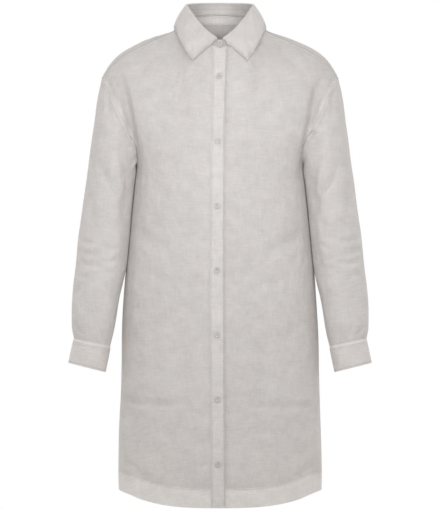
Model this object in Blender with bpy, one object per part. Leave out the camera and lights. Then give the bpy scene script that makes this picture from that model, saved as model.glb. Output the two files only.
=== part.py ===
"""Long linen dress shirt, filled out as it is when worn, with open neck, cuffs and hem.

Metres, +Z up. The front faces -Y and the wearer's left is +X. Heights are measured from the place
where the collar meets the shoulders, so nearly all of them are negative.
"""
import math
from bisect import bisect_right
from collections import defaultdict, namedtuple

import bmesh
import bpy
from mathutils import Vector
from mathutils.bvhtree import BVHTree

# Cloth and seams
WALL = 0.0015               # body and sleeve cloth, with its folds' fullness
PLACKET_WALL = 0.0012
BAND_WALL = 0.0020          # cuffs and stand, two layers and an interlining
LEAF_WALL = 0.0015
SEAM_GAP = 0.0003
FRONT, BACK = -1, 1
CURVE_STEPS = 120           # a curve is walked in this many steps before columns are spread on it
SHARP_ANGLE = 50            # degrees from which an edge of the cloth is drawn sharp

# Body
HEM_HEIGHT = -0.883         # centre of the curved hem
HEM_RISE = 0.033            # from the centre to the side
HEM_HALF_WIDTH = 0.187
HEM_POWER = 3               # how late the hem's rise starts on its way to the side
HEM_ROUNDS = 3              # tries at which a column's width and height settle together
ROUNDNESS = 2.35            # exponent of the body's girth: 2 is an ellipse, more is squarer
VENT_HEIGHT = -0.801
VENT_SPREAD = 0.004
PLACKET_HALF = 0.013
LOWER_ROWS = 11
UPPER_ROWS = 10
CREST_ROWS = 2              # rows of the back between the shoulder's crest and the forward seam
NECK_COLUMNS = 6
SHOULDER_COLUMNS = 9

Girth = namedtuple("Girth", "height half_width front_depth back_depth")
BODY_GIRTHS = (
    Girth(-0.883, 0.1870, 0.1250, 0.1240),
    Girth(-0.801, 0.1885, 0.1225, 0.1210),
    Girth(-0.750, 0.1880, 0.1205, 0.1180),
    Girth(-0.690, 0.1835, 0.1190, 0.1150),
    Girth(-0.580, 0.1825, 0.1155, 0.1100),
    Girth(-0.477, 0.1776, 0.1130, 0.1030),
    Girth(-0.438, 0.1725, 0.1125, 0.1010),
    Girth(-0.375, 0.1665, 0.1125, 0.1000),
    Girth(-0.340, 0.1635, 0.1130, 0.1010),
    Girth(-0.290, 0.1565, 0.1140, 0.1045),
    Girth(-0.250, 0.1545, 0.1145, 0.1075),
)

Centre = namedtuple("Centre", "height front_depth back_depth")
CENTRE_LINES = (
    Centre(-0.250, 0.1145, 0.1075),
    Centre(-0.150, 0.1070, 0.1085),
    Centre(-0.100, 0.0985, 0.1040),
    Centre(-0.060, 0.0850, 0.0970),
    Centre(-0.035, 0.0740, 0.0910),
    Centre(0.0000, 0.0740, 0.0780),
    Centre(0.0290, 0.0740, 0.0590),
)

Wobble = namedtuple("Wobble", "height shift")
PLACKET_LINE = (
    Wobble(-0.883, -0.0030),
    Wobble(-0.650, -0.0045),
    Wobble(-0.400, -0.0055),
    Wobble(-0.200, -0.0035),
    Wobble(-0.035, 0.0000),
)
WOBBLE_REACH = 0.130        # from the centre; the seams beyond it stay straight

# Neck, as a loop of half turns: -90 degrees is the front, 90 the back
NECK_HALF_WIDTH = 0.064
NECK_HALF_DEPTH = 0.0665
NECK_CENTRE = -0.0075
SHOULDER_SEAM_ANGLE = -12
CREST_ANGLE = 5
NECK_MARGIN = 0.009         # ring of the back just outside the neckline, as far out as down

Neck = namedtuple("Neck", "angle seam_height roll_height lean")
NECK_LINE = (
    Neck(-90, -0.0350, -0.0170, 0.0050),
    Neck(-75, -0.0280, -0.0080, 0.0045),
    Neck(-60, -0.0165, 0.0055, 0.0035),
    Neck(-45, -0.0030, 0.0210, 0.0025),
    Neck(-30, 0.0080, 0.0350, 0.0020),
    Neck(-12, 0.0155, 0.0450, 0.0020),
    Neck(5, 0.0185, 0.0480, 0.0020),
    Neck(45, 0.0250, 0.0505, 0.0015),
    Neck(90, 0.0290, 0.0515, 0.0010),
)

# Shoulder, from the neck to the armhole, as seen from the front
Shoulder = namedtuple("Shoulder", "reach crest_height seam_height")
SHOULDER_LINE = (
    Shoulder(0.0640, 0.0185, 0.0155),
    Shoulder(0.0870, 0.0010, -0.0035),
    Shoulder(0.1070, -0.0055, -0.0120),
    Shoulder(0.1260, -0.0120, -0.0195),
    Shoulder(0.1440, -0.0195, -0.0280),
    Shoulder(0.1590, -0.0265, -0.0350),
    Shoulder(0.1740, -0.0335, -0.0420),
    Shoulder(0.1850, -0.0410, -0.0490),
    Shoulder(0.1940, -0.0485, -0.0560),
    Shoulder(0.2020, -0.0580, -0.0650),
    Shoulder(0.2110, -0.0720, -0.0780),
    Shoulder(0.2190, -0.0880, -0.0925),
)

# Armhole ring: 0 degrees is its top, 180 the armpit, and angles grow towards the front
ARMHOLE_TOP = Vector((0.2190, 0.0, -0.0880))
ARMPIT = Vector((0.1545, 0.0, -0.2500))
ARMHOLE_HALF_DEPTH = 0.067
ARMHOLE_BOW = 0.007         # how far the seam bows towards the neck
ARMHOLE_SEAM_ANGLE = 17.4
ARMHOLE_OUTWARD = Vector((0.929, 0.0, -0.370))
SLEEVE_SET = 0.0013         # the sleeve's head beyond the armhole, so that the bent walls clear

Sleeve = namedtuple("Sleeve", "outer_reach outer_height inner_reach inner_height half_depth centre")
SLEEVE_RINGS = (
    Sleeve(0.2235, -0.1100, 0.1575, -0.2535, 0.0680, 0.000),
    Sleeve(0.2290, -0.1370, 0.1578, -0.2590, 0.0695, 0.000),
    Sleeve(0.2325, -0.1660, 0.1580, -0.2660, 0.0695, 0.000),
    Sleeve(0.2370, -0.1960, 0.1592, -0.2760, 0.0690, 0.000),
    Sleeve(0.2405, -0.2260, 0.1615, -0.2900, 0.0670, -0.001),
    Sleeve(0.2455, -0.2650, 0.1645, -0.3090, 0.0645, -0.003),
    Sleeve(0.2525, -0.3145, 0.1682, -0.3390, 0.0605, -0.006),
    Sleeve(0.2580, -0.3520, 0.1705, -0.3750, 0.0575, -0.009),
    Sleeve(0.2635, -0.3920, 0.1730, -0.4100, 0.0545, -0.012),
    Sleeve(0.2670, -0.4330, 0.1765, -0.4400, 0.0520, -0.015),
    Sleeve(0.2715, -0.4680, 0.1805, -0.4720, 0.0500, -0.018),
    Sleeve(0.2750, -0.5050, 0.1870, -0.5080, 0.0480, -0.021),
    Sleeve(0.2755, -0.5350, 0.1915, -0.5400, 0.0450, -0.024),
    Sleeve(0.2745, -0.5550, 0.1960, -0.5620, 0.0410, -0.026),
    Sleeve(0.2705, -0.5697, 0.2020, -0.5840, 0.0360, -0.027),
)
CUFF_RINGS = (
    Sleeve(0.2713, -0.5705, 0.2012, -0.5848, 0.0368, -0.027),
    Sleeve(0.2765, -0.5925, 0.2057, -0.6090, 0.0378, -0.027),
    Sleeve(0.2810, -0.6155, 0.2110, -0.6330, 0.0375, -0.028),
)
CUFF_COLUMNS = 22
CUFF_LAP_COLUMNS = 2
CUFF_LAP_START = -50        # degrees on the ring: the back, a little to the outside

# Collar leaf: its roll over the stand, then the way to its outer edge
Roll = namedtuple("Roll", "outward up")
LEAF_ROLL = (
    Roll(-0.0020, 0.0000),
    Roll(-0.0020, 0.0016),
    Roll(-0.0004, 0.0034),
    Roll(0.0024, 0.0030),
    Roll(0.0042, 0.0006),
)
LEAF_FRONT_START = 0.42     # of the way from the centre to the placket's edge
LEAF_ROWS = 5
LEAF_CLEARANCE = 0.0040     # the leaf's outer face above the body
LEAF_BULGE = 0.0030
LeafEdge = namedtuple("LeafEdge", "angle reach depth height")
LEAF_EDGE = (
    LeafEdge(-90, 0.0536, -0.0900, -0.0564),
    LeafEdge(-62, 0.0655, -0.0760, -0.0370),
    LeafEdge(-40, 0.0765, -0.0540, -0.0170),
    LeafEdge(-12, 0.0860, -0.0200, 0.0005),
    LeafEdge(5, 0.0870, 0.0040, 0.0045),
    LeafEdge(30, 0.0800, 0.0400, 0.0040),
    LeafEdge(60, 0.0500, 0.0740, 0.0030),
    LeafEdge(90, 0.0000, 0.0870, 0.0025),
)

# Largest folds, as soft troughs between two places in the front view, on both halves
FOLD_SEAM_MARGIN = 0.12     # a fold fades out where the cloth turns to the side
Fold = namedtuple("Fold", "face start end width start_depth end_depth")
BODY_FOLDS = (
    Fold(FRONT, (0.182, -0.100), (0.167, -0.140), 0.012, 0.0020, 0.0060),
    Fold(FRONT, (0.167, -0.140), (0.156, -0.225), 0.012, 0.0060, 0.0090),
    Fold(FRONT, (0.146, -0.380), (0.108, -0.415), 0.024, 0.0045, 0.0020),
    Fold(FRONT, (0.150, -0.560), (0.120, -0.840), 0.030, 0.0020, 0.0050),
    Fold(BACK, (0.178, -0.105), (0.160, -0.220), 0.014, 0.0030, 0.0080),
    Fold(BACK, (0.080, -0.060), (0.060, -0.300), 0.026, 0.0010, 0.0040),
    Fold(BACK, (0.100, -0.420), (0.080, -0.840), 0.032, 0.0020, 0.0060),
)
SLEEVE_FOLDS = (
    Fold(FRONT, (0.174, -0.270), (0.206, -0.375), 0.014, 0.0040, 0.0030),
    Fold(FRONT, (0.262, -0.395), (0.225, -0.425), 0.015, 0.0050, 0.0020),
    Fold(BACK, (0.178, -0.290), (0.212, -0.370), 0.015, 0.0040, 0.0030),
    Fold(BACK, (0.258, -0.400), (0.215, -0.430), 0.016, 0.0040, 0.0020),
)

# Buttons
Turning = namedtuple("Turning", "radius height")
BUTTON_PROFILE = (
    Turning(0.0000, 0.0000),
    Turning(0.0052, 0.0000),
    Turning(0.0058, 0.0012),
    Turning(0.0053, 0.0026),
    Turning(0.0045, 0.0026),
    Turning(0.0037, 0.0021),
    Turning(0.0000, 0.0021),
)
BUTTON_RADIUS = max(turning.radius for turning in BUTTON_PROFILE)
BUTTON_SIDES = 14
BUTTON_SHARP_ANGLE = 35
BUTTON_PROBE = 0.010        # height above the cloth from which the room under a button is felt
STAND_BUTTON_HEIGHT = -0.0245
CUFF_BUTTON_ANGLE = -66
PLACKET_BUTTON_TOP = -0.087
PLACKET_BUTTON_PITCH = 0.119
PLACKET_BUTTONS = 7

# Colours are linear
LINEN_COLOUR = (0.640, 0.622, 0.598)
BUTTON_COLOUR = (0.700, 0.680, 0.650)
LINEN_ROUGHNESS = 0.85
BUTTON_ROUGHNESS = 0.35


def row_at(table, place):
    """Row of a table at a place between its rows, on smooth curves through them."""
    rows = sorted(table)
    keys = [row[0] for row in rows]
    place = min(max(place, keys[0]), keys[-1])
    low = min(bisect_right(keys, place), len(keys) - 1) - 1
    span = keys[low + 1] - keys[low]
    t = (place - keys[low]) / span

    def slope(index, column):
        before, after = max(index - 1, 0), min(index + 1, len(keys) - 1)
        return (rows[after][column] - rows[before][column]) / (keys[after] - keys[before])

    values = [place]
    for column in range(1, len(rows[0])):
        start, end = rows[low][column], rows[low + 1][column]
        values.append(
            start * (2 * t**3 - 3 * t**2 + 1) + end * (3 * t**2 - 2 * t**3)
            + slope(low, column) * span * (t**3 - 2 * t**2 + t)
            + slope(low + 1, column) * span * (t**3 - t**2))
    return type(rows[0])(*values)


def steps(start, end, count):
    """Values from start to end in equal steps."""
    return [start + (end - start) * index / count for index in range(count + 1)]


def spread(line, distances):
    """Points of a polyline at these distances along it."""
    lengths = [0.0]
    for before, after in zip(line, line[1:]):
        lengths.append(lengths[-1] + (after - before).length)
    points = []
    for distance in distances:
        low = max(1, min(bisect_right(lengths, distance), len(line) - 1)) - 1
        part = (distance - lengths[low]) / (lengths[low + 1] - lengths[low])
        points.append(line[low].lerp(line[low + 1], min(part, 1.0)))
    return points


def line_length(line):
    return sum((after - before).length for before, after in zip(line, line[1:]))


def mirrored(grid):
    """The other half of a grid: its points across the centre plane."""
    return [[Vector((-point.x, point.y, point.z)) for point in row] for row in grid]


def body_arc(height, face):
    """Columns of the girth at a height, from the centre line to the side seam."""
    girth = row_at(BODY_GIRTHS, height)
    depth = girth.front_depth if face == FRONT else girth.back_depth
    power = 2 / ROUNDNESS
    arc = [Vector((girth.half_width * math.sin(turn) ** power,
                   face * depth * abs(math.cos(turn)) ** power, height))
           for turn in steps(0.0, math.pi / 2, CURVE_STEPS)]
    columns = NECK_COLUMNS + SHOULDER_COLUMNS
    return spread(arc, [0.0] + steps(PLACKET_HALF, line_length(arc), columns - 1))


def hem_height(reach):
    return HEM_HEIGHT + HEM_RISE * (reach / HEM_HALF_WIDTH) ** HEM_POWER


def lower_half(face):
    """Rows from the hem to the armpit. Each column climbs from its own place on the curved hem."""
    rows = []
    for climb in steps(0.0, 1.0, LOWER_ROWS):
        row = []
        for column in range(NECK_COLUMNS + SHOULDER_COLUMNS + 1):
            height = ARMPIT.z
            for _ in range(HEM_ROUNDS):
                point = body_arc(height, face)[column]
                height = hem_height(point.x) * (1 - climb) + ARMPIT.z * climb
            row.append(Vector((point.x, point.y, height)))
        rows.append(row)
    vent = (VENT_HEIGHT - rows[0][-1].z) / (VENT_HEIGHT - HEM_HEIGHT - HEM_RISE)
    rows[0][-1].y += face * VENT_SPREAD * vent
    return rows


def neck_angles(face):
    """Angles of one face's neck columns, from its centre to the forward shoulder seam."""
    if face == BACK:
        return steps(90.0, SHOULDER_SEAM_ANGLE, NECK_COLUMNS)
    placket_angle = -math.degrees(math.acos(PLACKET_HALF / NECK_HALF_WIDTH))
    return [-90.0] + steps(placket_angle, SHOULDER_SEAM_ANGLE, NECK_COLUMNS - 1)


def neck_row(angle):
    """Row of the neck's table at an angle. Past 90 degrees it is that of the other side."""
    return row_at(NECK_LINE, math.degrees(math.asin(math.sin(math.radians(angle)))))


def neck_outward(angle):
    turn = math.radians(angle)
    return Vector((math.cos(turn) / NECK_HALF_WIDTH, math.sin(turn) / NECK_HALF_DEPTH, 0.0)).normalized()


def neck_point(angle):
    """Neckline seam at an angle."""
    turn = math.radians(angle)
    return Vector((NECK_HALF_WIDTH * math.cos(turn), NECK_CENTRE + NECK_HALF_DEPTH * math.sin(turn),
                   neck_row(angle).seam_height))


def stand_top(angle):
    """Upper edge of the stand's outer face at an angle, just under the leaf's roll."""
    neck = neck_row(angle)
    top = neck_point(angle) - neck_outward(angle) * neck.lean
    top.z = neck.roll_height - LEAF_ROLL[2].up
    return top


def armhole_point(angle):
    """Armhole seam at an angle. Negative angles are the back half."""
    turn = math.radians(angle)
    middle, reach = (ARMHOLE_TOP + ARMPIT) / 2, (ARMHOLE_TOP - ARMPIT) / 2
    sideways = Vector((0.0, -ARMHOLE_HALF_DEPTH * math.sin(turn), 0.0))
    return middle + reach * math.cos(turn) + sideways - ARMHOLE_OUTWARD * ARMHOLE_BOW * math.sin(turn) ** 2


def shoulder_row(share, start):
    """Columns from the neck to the armhole, a share of the way from the forward seam to the crest."""
    end = armhole_point(ARMHOLE_SEAM_ANGLE * (1 - share))
    rounded = 1 - (1 - share) ** 2

    def height(reach):
        at = row_at(SHOULDER_LINE, reach)
        return at.seam_height + (at.crest_height - at.seam_height) * rounded

    line = []
    for part in steps(0.0, 1.0, CURVE_STEPS):
        point = start.lerp(end, part)
        point.z = (height(point.x) + (start.z - height(start.x)) * (1 - part)
                   + (end.z - height(end.x)) * part)
        line.append(point)
    return spread(line, steps(0.0, line_length(line), SHOULDER_COLUMNS))


def patch(bottom, top, inner, outer):
    """Grid between four edges: bottom and top run along the columns, inner and outer along the rows."""
    grid = []
    for row, (start, end) in enumerate(zip(inner, outer)):
        up = row / (len(inner) - 1)
        low_corner, high_corner = bottom[0].lerp(top[0], up), bottom[-1].lerp(top[-1], up)
        points = []
        for column, (under, over) in enumerate(zip(bottom, top)):
            along = column / (len(bottom) - 1)
            corner = low_corner.lerp(high_corner, along)
            points.append(under.lerp(over, up) + start.lerp(end, along) - corner)
        grid.append(points)
    return grid


def front_half():
    """Left half of the front, from the hem to the neckline and the forward shoulder seam."""
    lower = lower_half(FRONT)
    neckline = [neck_point(angle) for angle in neck_angles(FRONT)]
    top = neckline + shoulder_row(0.0, neckline[-1])[1:]
    centre_line = [Vector((0.0, -row_at(CENTRE_LINES, height).front_depth, height))
                   for height in steps(ARMPIT.z, top[0].z, UPPER_ROWS)]
    armhole = [armhole_point(angle) for angle in steps(180.0, ARMHOLE_SEAM_ANGLE, UPPER_ROWS)]
    return lower[:-1] + patch(lower[-1], top, centre_line, armhole)


def back_half():
    """Left half of the back. It climbs over the shoulder's crest and down to the forward seam."""
    lower = lower_half(BACK)
    margin = []
    for angle in steps(90.0, CREST_ANGLE, NECK_COLUMNS):
        margin.append(neck_point(angle) + neck_outward(angle) * NECK_MARGIN - Vector((0.0, 0.0, NECK_MARGIN)))
    crest = margin + shoulder_row(1.0, margin[-1])[1:]
    centre_line = [Vector((0.0, row_at(CENTRE_LINES, height).back_depth, height))
                   for height in steps(ARMPIT.z, crest[0].z, UPPER_ROWS)]
    centre_line[-1] = crest[0]
    armhole = [armhole_point(angle) for angle in steps(-180.0, 0.0, UPPER_ROWS)]
    half = lower[:-1] + patch(lower[-1], crest, centre_line, armhole)
    neckline = [neck_point(angle) for angle in neck_angles(BACK)]
    for share in steps(1.0, 0.0, CREST_ROWS)[1:]:
        beside_neck = [at_neck.lerp(at_margin, share) for at_neck, at_margin in zip(neckline, margin)]
        half.append(beside_neck + shoulder_row(share, beside_neck[-1])[1:])
    return half


def whole(half, face):
    """Both halves as one sheet, its columns running anticlockwise round the body as seen from above."""
    other = mirrored(half)
    if face == FRONT:
        return [list(reversed(right)) + left[1:] for right, left in zip(other, half)]
    return [list(reversed(left)) + right[1:] for right, left in zip(other, half)]


def sway(grid):
    """The placket wanders a little to the wearer's right on its way down."""
    for row in grid:
        for point in row:
            nearness = max(0.0, 1 - (point.x / WOBBLE_REACH) ** 2) ** 2
            point.x += row_at(PLACKET_LINE, point.z).shift * nearness


def corner_key(point):
    return tuple(round(value, 6) for value in point)


def sheet_normals(grids):
    """Outward directions of sheets that share points at their seams, a grid of them for each sheet."""
    sums = defaultdict(lambda: Vector((0.0, 0.0, 0.0)))
    for grid in grids:
        for low, high in zip(grid, grid[1:]):
            for a, b, c, d in zip(low, low[1:], high[1:], high):
                for corner in (a, b, c, d):
                    sums[corner_key(corner)] += (c - a).cross(d - b)
    return [[[sums[corner_key(point)].normalized() for point in row] for row in grid] for grid in grids]


def fold(grid, normals, folds):
    """Press the folds of a table into a sheet, on both halves."""
    for row, row_normals in zip(grid, normals):
        for point, normal in zip(row, row_normals):
            depth = 0.0
            for trough in folds:
                start, end = Vector(trough.start), Vector(trough.end)
                place = Vector((abs(point.x), point.z))
                run = end - start
                along = min(max((place - start).dot(run) / run.length_squared, 0.0), 1.0)
                away = (place - start - run * along).length / trough.width
                facing = max(0.0, trough.face * normal.y - FOLD_SEAM_MARGIN)
                depth += facing * math.exp(-away ** 2) * (
                    trough.start_depth + (trough.end_depth - trough.start_depth) * along)
            point -= normal * depth


def moved(grid, normals, lifts):
    """A sheet moved along its normals, by one lift for each column."""
    return [[point + normal * lift for point, normal, lift in zip(row, row_normals, lifts)]
            for row, row_normals in zip(grid, normals)]


def trimmed(grid, closed):
    """A sheet drawn back by half a seam gap at its edges."""
    columns = list(zip(*grid))
    for row, beside in ((0, 1), (-1, -2)):
        for edge, inner in zip(grid[row], grid[beside]):
            edge += (inner - edge).normalized() * SEAM_GAP / 2
    if not closed:
        for column, beside in ((0, 1), (-1, -2)):
            for edge, inner in zip(columns[column], columns[beside]):
                edge += (inner - edge).normalized() * SEAM_GAP / 2
    return grid


def cloth(name, grid, normals, wall, material, lifts=None, closed=False):
    """Solid cloth wall whose outer face is a sheet, lifted by column where it lies on another."""
    lifts = lifts or [0.0] * len(grid[0])
    outer = trimmed(moved(grid, normals, lifts), closed)
    inner = trimmed(moved(grid, normals, [lift - wall for lift in lifts]), closed)
    count = len(grid[0]) - 1 if closed else len(grid[0])
    mesh = bpy.data.meshes.new(name)
    shape = bmesh.new()
    faces = []
    sheets = [[[shape.verts.new(point) for point in row[:count]] for row in sheet] for sheet in (outer, inner)]
    spans = range(count) if closed else range(count - 1)
    for sheet in sheets:
        for low, high in zip(sheet, sheet[1:]):
            for column in spans:
                after = (column + 1) % count
                faces.append((low[column], low[after], high[after], high[column]))
    for row in (0, -1):
        for column in spans:
            after = (column + 1) % count
            faces.append((sheets[0][row][column], sheets[0][row][after],
                          sheets[1][row][after], sheets[1][row][column]))
    if not closed:
        for column in (0, -1):
            for row in range(len(grid) - 1):
                faces.append((sheets[0][row][column], sheets[0][row + 1][column],
                              sheets[1][row + 1][column], sheets[1][row][column]))
    for corners in faces:
        shape.faces.new(corners)
    bmesh.ops.triangulate(shape, faces=shape.faces[:], quad_method="FIXED")
    bmesh.ops.recalc_face_normals(shape, faces=shape.faces[:])
    shape.to_mesh(mesh)
    shape.free()
    return finished(name, mesh, material)


def finished(name, mesh, material):
    mesh.shade_smooth()
    mesh.set_sharp_from_angle(angle=math.radians(SHARP_ANGLE))
    mesh.materials.append(material)
    piece = bpy.data.objects.new(name, mesh)
    bpy.context.scene.collection.objects.link(piece)
    return piece


def make_material(name, colour, roughness):
    material = bpy.data.materials.new(name)
    material.use_nodes = True
    shader = material.node_tree.nodes["Principled BSDF"]
    shader.inputs["Base Color"].default_value = (*colour, 1.0)
    shader.inputs["Roughness"].default_value = roughness
    shader.inputs["Metallic"].default_value = 0.0
    return material


def make_body(linen):
    """Back, two fronts and the placket. Returns the front, the back and the placket's outer face."""
    front, back = whole(front_half(), FRONT), whole(back_half(), BACK)
    sway(front)
    for sheet, normals in zip((front, back), sheet_normals((front, back))):
        fold(sheet, normals, BODY_FOLDS)
    front_normals, back_normals = sheet_normals((front, back))
    cloth("back", back, back_normals, WALL, linen)

    middle = len(front[0]) // 2
    under = WALL + SEAM_GAP
    left_columns, right_columns = slice(middle - 1, None), slice(None, middle + 2)
    placket_columns = slice(middle - 1, middle + 2)

    def part_of(columns):
        return [[row[columns] for row in sheet] for sheet in (front, front_normals)]

    left, left_normals = part_of(left_columns)
    lifts = [-under] * 3 + [0.0] * (len(left[0]) - 3)
    cloth("front_left", left, left_normals, WALL, linen, lifts)
    cloth("front_right", *part_of(right_columns), WALL, linen)
    placket, placket_normals = part_of(placket_columns)
    placket_lifts = [SEAM_GAP + PLACKET_WALL] * 3
    cloth("placket", placket, placket_normals, PLACKET_WALL, linen, placket_lifts)
    return front, back, moved(placket, placket_normals, placket_lifts)


def ring(row, angles):
    """Points of a sleeve's ring at these angles, 0 on its outer side and 90 at the front."""
    outer = Vector((row.outer_reach, row.centre, row.outer_height))
    inner = Vector((row.inner_reach, row.centre, row.inner_height))
    middle, reach = (outer + inner) / 2, (outer - inner) / 2
    return [middle + reach * math.cos(math.radians(angle))
            - Vector((0.0, row.half_depth * math.sin(math.radians(angle)), 0.0)) for angle in angles]


def make_sleeve(front, back, linen):
    """Left sleeve and its mirror image. Its head follows the body's armhole edges."""
    armpit_row = LOWER_ROWS
    front_edge = [row[-1] for row in front[armpit_row:]]
    back_edge = [row[0] for row in back[armpit_row:]]
    head = list(reversed(front_edge)) + back_edge[1:]
    front_angles = steps(ARMHOLE_SEAM_ANGLE, 180.0, UPPER_ROWS)
    back_angles = steps(180.0, 360.0, UPPER_ROWS) + steps(360.0, 360.0 + ARMHOLE_SEAM_ANGLE, CREST_ROWS)[1:]
    angles = front_angles + back_angles[1:]
    head = [point + ARMHOLE_OUTWARD * SLEEVE_SET for point in head]
    grid = list(reversed([head] + [ring(row, angles) for row in SLEEVE_RINGS]))
    grid = [list(reversed(row)) for row in grid]
    for row in grid:
        row[-1] = row[0].copy()
    fold(grid, sheet_normals((grid,))[0], SLEEVE_FOLDS)
    for side, sheet in (("left", grid), ("right", [list(reversed(row)) for row in mirrored(grid)])):
        cloth("sleeve_" + side, sheet, sheet_normals((sheet,))[0], WALL, linen, closed=True)


def make_cuff(linen):
    """Left cuff and its mirror image: a strip whose end laps over its start at the back."""
    turn = 360.0 / CUFF_COLUMNS
    count = CUFF_COLUMNS + CUFF_LAP_COLUMNS
    angles = steps(CUFF_LAP_START, CUFF_LAP_START - turn * count, count)
    grid = [ring(row, angles) for row in reversed(CUFF_RINGS)]
    lifts = [0.0] * CUFF_COLUMNS + [BAND_WALL + SEAM_GAP] * (CUFF_LAP_COLUMNS + 1)
    for side, sheet in (("left", grid), ("right", [list(reversed(row)) for row in mirrored(grid)])):
        side_lifts = lifts if side == "left" else list(reversed(lifts))
        cloth("cuff_" + side, sheet, sheet_normals((sheet,))[0], BAND_WALL, linen, side_lifts)
    normals = sheet_normals((grid,))[0]
    return moved(grid, normals, lifts), normals[1][-2]


def neck_loop():
    """Angles of the neck's columns all the way round, from the front centre past the wearer's left."""
    left = neck_angles(FRONT) + list(reversed(neck_angles(BACK)))[1:]
    return left + [180.0 - angle for angle in reversed(left[:-1])]


def make_stand(linen):
    """Collar stand: a band from under the right front, round the neck and over its own start."""
    loop = neck_loop()
    angles = [loop[-2] - 360.0] + loop + [loop[1] + 360.0]
    sheet = [[neck_point(angle).lerp(stand_top(angle), share) for angle in angles] for share in (0.0, 0.5, 1.0)]
    lifts = [-BAND_WALL - SEAM_GAP] * 3 + [0.0] * (len(angles) - 3)
    normals = sheet_normals((sheet,))[0]
    cloth("collar_stand", sheet, normals, BAND_WALL, linen, lifts)
    return moved(sheet, normals, lifts)


def sheet_tree(*sheets):
    """Search tree over the quads of some sheets."""
    points, quads = [], []
    for sheet in sheets:
        for low, high in zip(sheet, sheet[1:]):
            for corners in zip(low, low[1:], high[1:], high):
                quads.append(range(len(points), len(points) + 4))
                points.extend(corners)
    return BVHTree.FromPolygons(points, quads)


def leaf_column(base, angle, side, body_tree):
    """One column of the leaf, from its start on the stand, over the roll and down to its outer edge."""
    outward = neck_outward(angle)
    column = [base + outward * roll.outward + Vector((0.0, 0.0, roll.up)) for roll in LEAF_ROLL]
    edge = row_at(LEAF_EDGE, math.degrees(math.asin(math.sin(math.radians(angle)))))
    target = Vector((edge.reach * side, edge.depth, edge.height))
    roll_end = column[-1]
    for share in steps(0.0, 1.0, LEAF_ROWS)[1:]:
        point = roll_end.lerp(target, share) + outward * LEAF_BULGE * math.sin(math.pi * share)
        place, normal, _, _ = body_tree.find_nearest(point)
        above = (point - place).dot(normal)
        if above < LEAF_CLEARANCE:
            point += normal * (LEAF_CLEARANCE - above)
        column.append(point)
    return column


def make_leaf(body_sheets, linen):
    """Collar leaf, folded over the stand and lying on the shoulders and chest."""
    loop = neck_loop()
    tree = sheet_tree(*body_sheets)
    columns = []
    for index, angle in enumerate(loop):
        base = stand_top(angle)
        if index == 0:
            base = base.lerp(stand_top(loop[1]), LEAF_FRONT_START)
        elif index == len(loop) - 1:
            base = base.lerp(stand_top(loop[-2]), LEAF_FRONT_START)
        side = 1.0 if index < len(loop) / 2 else -1.0
        columns.append(leaf_column(base, angle, side, tree))
    sheet = [list(row) for row in reversed(list(zip(*columns)))]
    cloth("collar_leaf", sheet, sheet_normals((sheet,))[0], LEAF_WALL, linen)


def button_mesh(material):
    """Plain button: a turned disc with a raised rim, its back on the XY plane."""
    shape = bmesh.new()
    corners = [shape.verts.new((radius, 0.0, height)) for radius, height in BUTTON_PROFILE]
    edges = [shape.edges.new(pair) for pair in zip(corners, corners[1:])]
    bmesh.ops.spin(shape, geom=corners + edges, axis=(0, 0, 1), cent=(0, 0, 0), angle=2 * math.pi,
                   steps=BUTTON_SIDES, use_merge=True)
    bmesh.ops.remove_doubles(shape, verts=shape.verts[:], dist=0.00001)
    bmesh.ops.recalc_face_normals(shape, faces=shape.faces[:])
    mesh = bpy.data.meshes.new("button")
    shape.to_mesh(mesh)
    shape.free()
    mesh.shade_smooth()
    mesh.set_sharp_from_angle(angle=math.radians(BUTTON_SHARP_ANGLE))
    mesh.materials.append(material)
    return mesh


def seat_button(name, mesh, tree, start, towards):
    """Lay a button on the cloth that a line from start meets, clear of it all round its back."""
    place, normal, _, _ = tree.ray_cast(start, towards)
    if normal.dot(towards) > 0:
        normal = -normal
    turn = normal.to_track_quat("Z", "Y")
    lift = SEAM_GAP
    for step in range(BUTTON_SIDES):
        angle = 2 * math.pi * step / BUTTON_SIDES
        rim = place + turn @ Vector((BUTTON_RADIUS * math.cos(angle), BUTTON_RADIUS * math.sin(angle), 0.0))
        _, _, _, distance = tree.ray_cast(rim + normal * BUTTON_PROBE, -normal)
        if distance is not None:
            lift = max(lift, SEAM_GAP + BUTTON_PROBE - distance)
    button = bpy.data.objects.new(name, mesh)
    button.location = place + normal * lift
    button.rotation_euler = turn.to_euler()
    bpy.context.scene.collection.objects.link(button)


def make_buttons(placket_sheet, stand_sheet, cuff_sheet, cuff_outward, material):
    """Stand button, placket buttons at an even pitch, and one on each cuff's lap."""
    mesh = button_mesh(material)
    inward = Vector((0.0, 1.0, 0.0))
    stand_tree, placket_tree = sheet_tree(stand_sheet), sheet_tree(placket_sheet)
    seat_button("button_stand", mesh, stand_tree, Vector((0.0, -1.0, STAND_BUTTON_HEIGHT)), inward)
    for index in range(PLACKET_BUTTONS):
        height = PLACKET_BUTTON_TOP - PLACKET_BUTTON_PITCH * index
        shift = row_at(PLACKET_LINE, height).shift
        seat_button(f"button_{index + 1}", mesh, placket_tree, Vector((shift, -1.0, height)), inward)
    middle = ring(CUFF_RINGS[1], [CUFF_BUTTON_ANGLE])[0]
    for side, sign in (("left", 1.0), ("right", -1.0)):
        tree = sheet_tree(cuff_sheet if side == "left" else mirrored(cuff_sheet))
        start = middle + cuff_outward * BUTTON_PROBE * 5
        start.x *= sign
        towards = Vector((-cuff_outward.x * sign, -cuff_outward.y, -cuff_outward.z))
        seat_button("cuff_button_" + side, mesh, tree, start, towards)


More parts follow.
